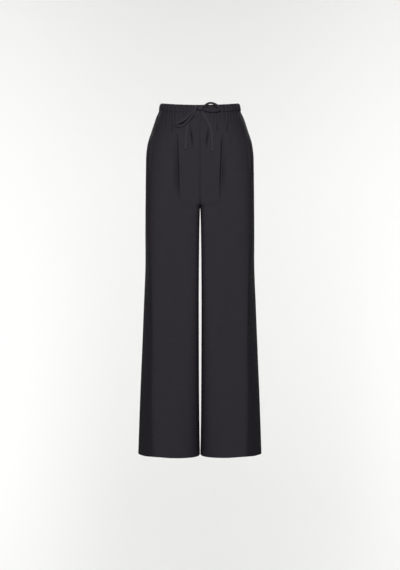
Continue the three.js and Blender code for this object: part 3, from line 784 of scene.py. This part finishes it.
def thicken(piece, thickness, inwards):
    solid = piece.modifiers.new("thickness", "SOLIDIFY")
    solid.thickness = thickness * MM
    solid.offset = -1.0 if inwards else 1.0
    return solid


def pucker_share(along, z, is_back):
    """How much a seam draws the cloth in beside it: most along the side seam near the knee, least at the inseam."""
    from_start, from_end = along - along[0], along[-1] - along
    at_side, at_inseam = (from_start, from_end) if is_back else (from_end, from_start)
    near_knee = 0.35 + 0.65 * math.exp(-(((z - PUCKER_KNEE) / PUCKER_LENGTH) ** 2))
    share = np.exp(-at_side / PUCKER_REACH) + 0.4 * np.exp(-at_inseam / PUCKER_REACH)
    return share * near_knee * smooth((POCKET_BOTTOM - z) / 60)


def panel_piece(side, is_back):
    across = np.linspace(0, 1, PANEL_ACROSS + 1)
    lines, widths, puckers = [], [], []
    for z, sunk in panel_rows():
        points, along = cloth_line(side, is_back, across, max(z, HEM), sunk=sunk)
        points[:, 2] += min(z - HEM, 0)
        lines.append(points)
        widths.append(along - along[len(along) // 2])
        puckers.append(pucker_share(along, z, is_back))
    word = f"{'back' if is_back else 'front'}_{'left' if side > 0 else 'right'}"
    piece = grid_piece("cloth_" + word, lines, CLOTH, widths, puckers)
    thicken(piece, CLOTH_THICKNESS, True)
    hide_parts(word)
    print(word, "grid:", len(piece.data.polygons), "faces")
    return piece


panels = [panel_piece(side, is_back) for side in (1, -1) for is_back in (False, True)]

# %% [markdown]
# The waistband is a casing: one strip of cloth that runs up the outside, rolls over the top and runs down inside,
# with the elastic between. The elastic gathers the outside into the same folds as the panels below, and they deepen
# in the middle of the band and are held flatter where it is stitched.

# %% Waistband
BAND_ROWS = [
    (-10.9, 0.1, 0.8),
    (-10.2, 0.9, 0.85),
    (-9, 1.3, 0.95),
    (-7, 1.6, 1.1),
    (-4, 1.9, 1.25),
    (-1, 2.0, 1.3),
    (2, 2.0, 1.3),
    (5, 1.9, 1.2),
    (7.5, 1.6, 1.1),
    (9.4, 1.1, 1.0),
    (10.6, 0.4, 0.9),
    (11.0, -0.5, 0.8),
    (10.6, -1.3, 0.6),
    (9.5, -1.9, 0.5),
    (6, -2.2, 0.45),
    (0, -2.3, 0.4),
    (-6, -2.3, 0.4),
    (-10.8, -2.2, 0.4),
]
BAND_ACROSS = 182


def band_point_rows(is_back):
    """Lines from side seam to side seam. Each row has its height, how proud it stands, and its share of the gathers."""
    across = np.linspace(0, 1, BAND_ACROSS + 1)
    lines, widths = [], []
    for z, proud, gathered in BAND_ROWS:
        halves = []
        for side in (1, -1) if is_back else (-1, 1):
            towards_side = 1 - across if is_back else across
            plain, along = cloth_line(side, is_back, across, z, folded=False, sunk=-proud)
            bare, _ = cloth_line(side, is_back, across, z, folded=False, sunk=-proud - 1.0)
            facing = bare - plain
            rise = gathered * gather_rise(towards_side, z, side, is_back)
            points = plain + facing * rise[:, None]
            halves.append((points, along - along[0]))
        (first, first_along), (second, second_along) = halves
        if is_back:
            lines.append(np.concatenate([first, second[::-1][1:]]))
            widths.append(np.concatenate([first_along, 2 * first_along[-1] - second_along[::-1][1:]]))
        else:
            lines.append(np.concatenate([first[::-1], second[1:]]))
            widths.append(np.concatenate([-first_along[::-1], second_along[1:]]))
    return lines, widths


def band_piece(is_back):
    lines, widths = band_point_rows(is_back)
    word = "waistband_back" if is_back else "waistband_front"
    piece = grid_piece("casing_" + word, lines, CLOTH, widths)
    thicken(piece, 0.6, True)
    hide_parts(word)
    print(word, "grid:", len(piece.data.polygons), "faces")
    return piece


bands = [band_piece(is_back) for is_back in (False, True)]

# %% [markdown]
# The pocket bags hang inside, behind the fronts. They are two layers of a thin lining cloth, rounded at the bottom,
# and only show from below or through the waist.

# %% Pocket bags
BAG_ACROSS, BAG_DEPTH, BAG_HANG = 40, 112.0, 62.0


def bag_piece(side):
    lines, widths = [], []
    for z in np.linspace(POCKET_TOP + 6, POCKET_BOTTOM - BAG_HANG, 60):
        drop = min(max((POCKET_BOTTOM - z) / BAG_HANG, 0), 1)
        reach = BAG_DEPTH * math.sqrt(1 - 0.8 * drop * drop)
        ring = cloth_round(float(z))
        near = ring["seam"] - 2 - 28 * float(smooth(drop * 1.6))
        along = np.maximum(np.linspace(near - reach, near, BAG_ACROSS + 1), HALF_GAP)
        x, y, face_x, face_y = (np.interp(along, ring["gone"], ring[name]) for name in ("x", "y", "face_x", "face_y"))
        sunk = 1.9 + 9.5 * smooth((near - along - 20) / 50) * float(smooth((POCKET_TOP - z + 20) / 40))
        fade = 1 - smooth((WAIST_SEAM - z) / TILT_FADES)
        height = z - fade * np.abs(np.minimum(y, 0) / at("front", z)) ** TILT_CURVE * FRONT_DIP
        lines.append(np.stack([side * (x - sunk * face_x), y - sunk * face_y, height], axis=-1))
        widths.append(along - near)
    word = "pocket_left" if side > 0 else "pocket_right"
    piece = grid_piece("bag_" + word, lines, POCKETING, widths)
    thicken(piece, 1.4, True)
    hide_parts(word)
    print(word, "grid:", len(piece.data.polygons), "faces")
    return piece


bags = [bag_piece(side) for side in (1, -1)]

# %% [markdown]
# Sewing. A row of small stitches holds the band just above the waist seam, and another holds each pocket mouth. One
# stitch is a short six-sided prism, and a row joins hundreds of them into one mesh.

# %% Stitches
STITCH, STITCH_GAP, THREAD_SIZE = 2.3, 0.8, 0.34
STITCHED_ROW = 3


def stitch_row(mesh, places, facings):
    """Adds stitches to a mesh along a line of places, in millimetres, each lying on the cloth."""
    steps = np.linalg.norm(np.diff(places, axis=0), axis=1)
    gone = np.concatenate([[0], np.cumsum(steps)])
    starts = np.arange(0.5, gone[-1] - STITCH, STITCH + STITCH_GAP)
    for start in starts:
        a, b = (
            Vector([np.interp(start + shift, gone, places[:, i]) for i in range(3)]) for shift in (0, STITCH)
        )
        out = Vector([np.interp(start, gone, facings[:, i]) for i in range(3)]).normalized()
        middle = (a + b) / 2 + out * 0.12
        turn = (b - a).to_track_quat("Z", "Y").to_matrix().to_4x4()
        place = Matrix.Translation(middle * MM) @ turn
        bmesh.ops.create_cone(
            mesh,
            cap_ends=True,
            segments=6,
            radius1=THREAD_SIZE * MM / 2,
            radius2=THREAD_SIZE * MM / 2,
            depth=(b - a).length * MM,
            matrix=place,
        )
    return len(starts)


def band_stitches():
    mesh = bmesh.new()
    count = 0
    for is_back in (False, True):
        lines, _ = band_point_rows(is_back)
        places = lines[STITCHED_ROW]
        away = places.copy()
        away[:, 2] = 0
        count += stitch_row(mesh, places, away)
    print("waist stitches:", count)
    return mesh


def mouth_stitches(mesh):
    count = 0
    for side in (1, -1):
        places, facings = [], []
        for z in np.linspace(POCKET_TOP - 2, POCKET_BOTTOM + 2, 90):
            ring = cloth_round(float(z))
            line = along_at_x(ring, FORK_LINE, False)
            across = np.array([1 - (1 - FORK_SHARE) * (POCKET_LIP - 1) / (ring["seam"] - line)])
            on, _ = cloth_line(side, False, across, float(z))
            off, _ = cloth_line(side, False, across, float(z), sunk=-1.0)
            places.append(on[0])
            facings.append((off - on)[0])
        count += stitch_row(mesh, np.array(places), np.array(facings))
    print("pocket mouth stitches:", count)


def add_stitches():
    mesh = band_stitches()
    mouth_stitches(mesh)
    uv = mesh.loops.layers.uv.new("cloth")
    for face in mesh.faces:
        for loop in face.loops:
            loop[uv].uv = (loop.vert.co.x + loop.vert.co.y, loop.vert.co.z)
    return finished("stitches", mesh, THREAD)


add_stitches()

# %% [markdown]
# The room: a wide sheet of pale paper that lies on the floor and curves up behind the garment, so that no line shows
# behind it. The room around it is dim, because a turned-away side of the garment is darker than its front. One broad
# soft light beside the camera lights the front. Two lights stand beside the garment, turned away from it, and make the
# paper behind it evenly bright.

# %% Paper
FLOOR, PAPER_AWAY, PAPER_WIDTH, PAPER_CURVE, PAPER_HEIGHT = -3.8, 4.5, 7.0, 0.8, 7.2
PAPER_FRONT = 1.5


def paper_finish():
    n = Nodes("pale paper")
    n.finish.inputs["Base Color"].default_value = (0.86, 0.86, 0.845, 1)
    n.finish.inputs["Roughness"].default_value = 0.9
    n.finish.inputs["Specular IOR Level"].default_value = 0.0
    return n.material


def add_paper():
    mesh = bmesh.new()
    ends = [mesh.verts.new((x, -PAPER_FRONT, FLOOR)) for x in (-PAPER_WIDTH / 2, PAPER_WIDTH / 2)]
    grown = bmesh.ops.extrude_edge_only(mesh, edges=[mesh.edges.new(ends)])["geom"]
    moved = [g for g in grown if isinstance(g, bmesh.types.BMVert)]
    bmesh.ops.translate(mesh, verts=moved, vec=(0, PAPER_FRONT + PAPER_AWAY - PAPER_CURVE, 0))
    edge = next(g for g in grown if isinstance(g, bmesh.types.BMEdge) and all(v in moved for v in g.verts))
    bend = bmesh.ops.spin(
        mesh,
        geom=[edge, *edge.verts],
        cent=(0, PAPER_AWAY - PAPER_CURVE, FLOOR + PAPER_CURVE),
        axis=(1, 0, 0),
        angle=math.radians(90),
        steps=24,
    )
    last = [g for g in bend["geom_last"] if isinstance(g, bmesh.types.BMEdge)]
    grown = bmesh.ops.extrude_edge_only(mesh, edges=last)["geom"]
    moved = [g for g in grown if isinstance(g, bmesh.types.BMVert)]
    bmesh.ops.translate(mesh, verts=moved, vec=(0, 0, PAPER_HEIGHT - PAPER_CURVE))
    bmesh.ops.recalc_face_normals(mesh, faces=mesh.faces)
    for face in mesh.faces:
        face.smooth = True
    data = bpy.data.meshes.new("paper")
    mesh.to_mesh(data)
    mesh.free()
    data.materials.append(paper_finish())
    paper = bpy.data.objects.new("paper", data)
    bpy.context.scene.collection.objects.link(paper)


add_paper()

# %% Lights
WORLD_LIGHT = 0.1
KEY_POWER, KEY_SIZE, KEY_PLACE = 290.0, 2.2, (-0.2, -4.5, 0.9)
PAPER_POWER, PAPER_SPREAD = 44.5, math.radians(120)
BACK_POWER, BACK_SIZE, BACK_PLACE, BACK_SPREAD = 22.0, (1.2, 1.2), (1.1, 4.0, 2.1), math.radians(60)


def add_light(name, power, size, place, aim, spread=math.pi):
    data = bpy.data.lights.new(name, "AREA")
    data.shape = "RECTANGLE"
    data.size, data.size_y = size
    data.energy = power
    data.spread = spread
    light = bpy.data.objects.new(name, data)
    light.location = place
    light.rotation_euler = (Vector(aim) - Vector(place)).to_track_quat("-Z", "Y").to_euler()
    bpy.context.scene.collection.objects.link(light)


def add_lights():
    world = bpy.data.worlds.new("studio")
    world.use_nodes = True
    background = world.node_tree.nodes["Background"]
    background.inputs["Color"].default_value = (1.0, 1.0, 1.0, 1.0)
    background.inputs["Strength"].default_value = WORLD_LIGHT
    bpy.context.scene.world = world
    bpy.context.scene.view_settings.view_transform = "Standard"
    add_light("key", KEY_POWER, (KEY_SIZE, KEY_SIZE), KEY_PLACE, (0, 0, -0.5))
    for side in (-1, 1):
        place, aim = (side * 2.8, 2.1, -0.6), (side * 1.1, PAPER_AWAY, -0.6)
        add_light("paper light", PAPER_POWER, (0.6, 6.2), place, aim, PAPER_SPREAD)
        behind = (side * BACK_PLACE[0], *BACK_PLACE[1:])
        add_light("back light", BACK_POWER, BACK_SIZE, behind, (0, 0, -0.5), BACK_SPREAD)


add_lights()
